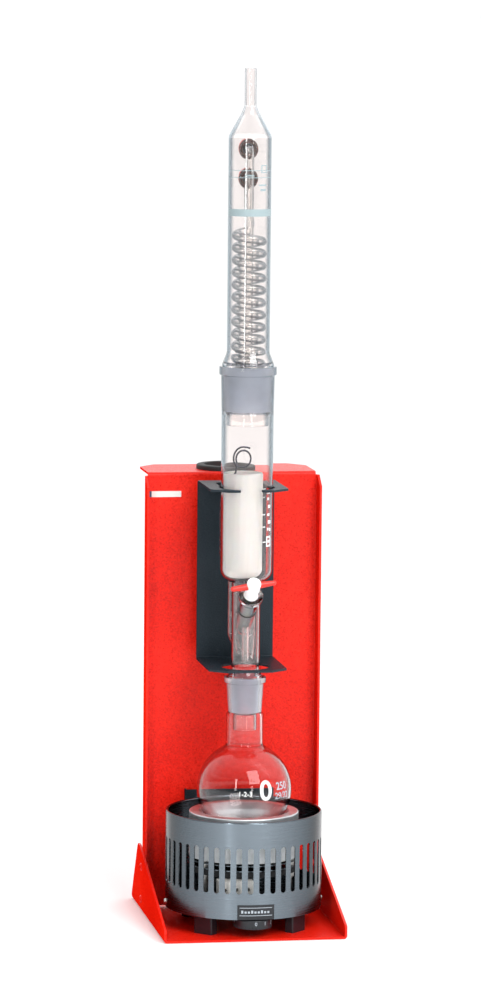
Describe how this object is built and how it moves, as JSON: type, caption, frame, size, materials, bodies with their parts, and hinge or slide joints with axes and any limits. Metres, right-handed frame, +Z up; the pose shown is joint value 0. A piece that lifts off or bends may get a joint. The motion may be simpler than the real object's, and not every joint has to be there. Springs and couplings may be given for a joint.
{
  "type": "soxhlet extractor",
  "caption": "Compact extraction apparatus: sheet-metal stand, slotted round heater, flask, extractor with stopcock and thimble, and coil condenser.",
  "frame": {"origin": "on the floor under the middle of the whole object", "axes": "+Z up, front of the stand towards -Y, +X to the right seen from the front"},
  "size_m": [0.1672, 0.22, 0.7666],
  "materials": {
    "red_paint": "fine-textured powder coat",
    "black_paint": "fine-textured powder coat",
    "stainless": "brushed",
    "zinc_steel": "zinc plated",
    "aluminium": "turned",
    "insulation": "pressed mineral fibre",
    "black_plastic": "fine moulded texture",
    "red_plastic": "semi-gloss moulded",
    "rubber": "matt",
    "ceramic": "unglazed",
    "label": "blank printed film",
    "clear_glass": "clear borosilicate, ground joints",
    "ptfe": "waxy",
    "cellulose": "pressed fibre",
    "silicone": "matt"
  },
  "bodies": {
    "stand": {"base_tray": "red_paint", "back_panel": "red_paint", "panel_screws": "red_paint", "hose_grommet": "rubber", "cable_grommet": "rubber", "label_plate": "label", "heat_shield": "black_paint", "glass_bracket": "black_paint", "bracket_spacers": "black_plastic", "bracket_screws": "zinc_steel", "bracket_nuts": "zinc_steel", "heater_shell": "stainless", "heater_pan": "stainless", "heater_feet": "black_plastic", "shell_screws": "zinc_steel", "heating_block": "aluminium", "heating_element": "zinc_steel", "upper_reflector": "stainless", "lower_reflector": "stainless", "insulation_dish": "insulation", "support_posts": "zinc_steel", "regulator_housing": "black_plastic", "terminal_block": "ceramic", "control_plate": "black_plastic", "cable_gland": "black_plastic"},
    "knob": {"heater_knob": "black_plastic", "knob_shaft": "zinc_steel"},
    "flask": {"flask": "clear_glass"},
    "extractor": {"extractor_body": "clear_glass", "vapour_tube": "clear_glass", "siphon_tube": "clear_glass", "drain_tube": "clear_glass", "stopcock_barrel": "clear_glass"},
    "stopcock": {"stopcock_plug": "ptfe", "stopcock_handle": "red_plastic", "stopcock_washer": "ptfe", "stopcock_nut": "red_plastic"},
    "thimble": {"thimble": "cellulose", "thimble_wire": "zinc_steel"},
    "condenser": {"condenser_jacket": "clear_glass", "condenser_coil": "clear_glass", "upper_screw_cap": "red_plastic", "lower_screw_cap": "red_plastic", "cap_seals": "silicone", "upper_hose_barb": "ptfe", "lower_hose_barb": "ptfe"}
  },
  "joints": [
    {"name": "knob_turn", "type": "hinge", "parent": "stand", "child": "knob", "pos_m": [0, -0.093, 0.014], "axis": [0, 0, 1], "range_deg": [0, 270]},
    {"name": "flask_lift", "type": "slide", "parent": "stand", "child": "flask", "axis": [0, 0, 1], "range_m": [0, 0.022]},
    {"name": "extractor_lift", "type": "slide", "parent": "flask", "child": "extractor", "axis": [0, 0, 1], "range_m": [0, 0.055]},
    {"name": "stopcock_turn", "type": "hinge", "parent": "extractor", "child": "stopcock", "pos_m": [0, -0.039, 0.2815], "axis": [0, -0.788, 0.6157], "continuous": true},
    {"name": "thimble_lift", "type": "slide", "parent": "extractor", "child": "thimble", "axis": [0, 0, 1], "range_m": [0, 0.018]},
    {"name": "condenser_lift", "type": "slide", "parent": "extractor", "child": "condenser", "axis": [0, 0, 1], "range_m": [0, 0.06]}
  ]
}
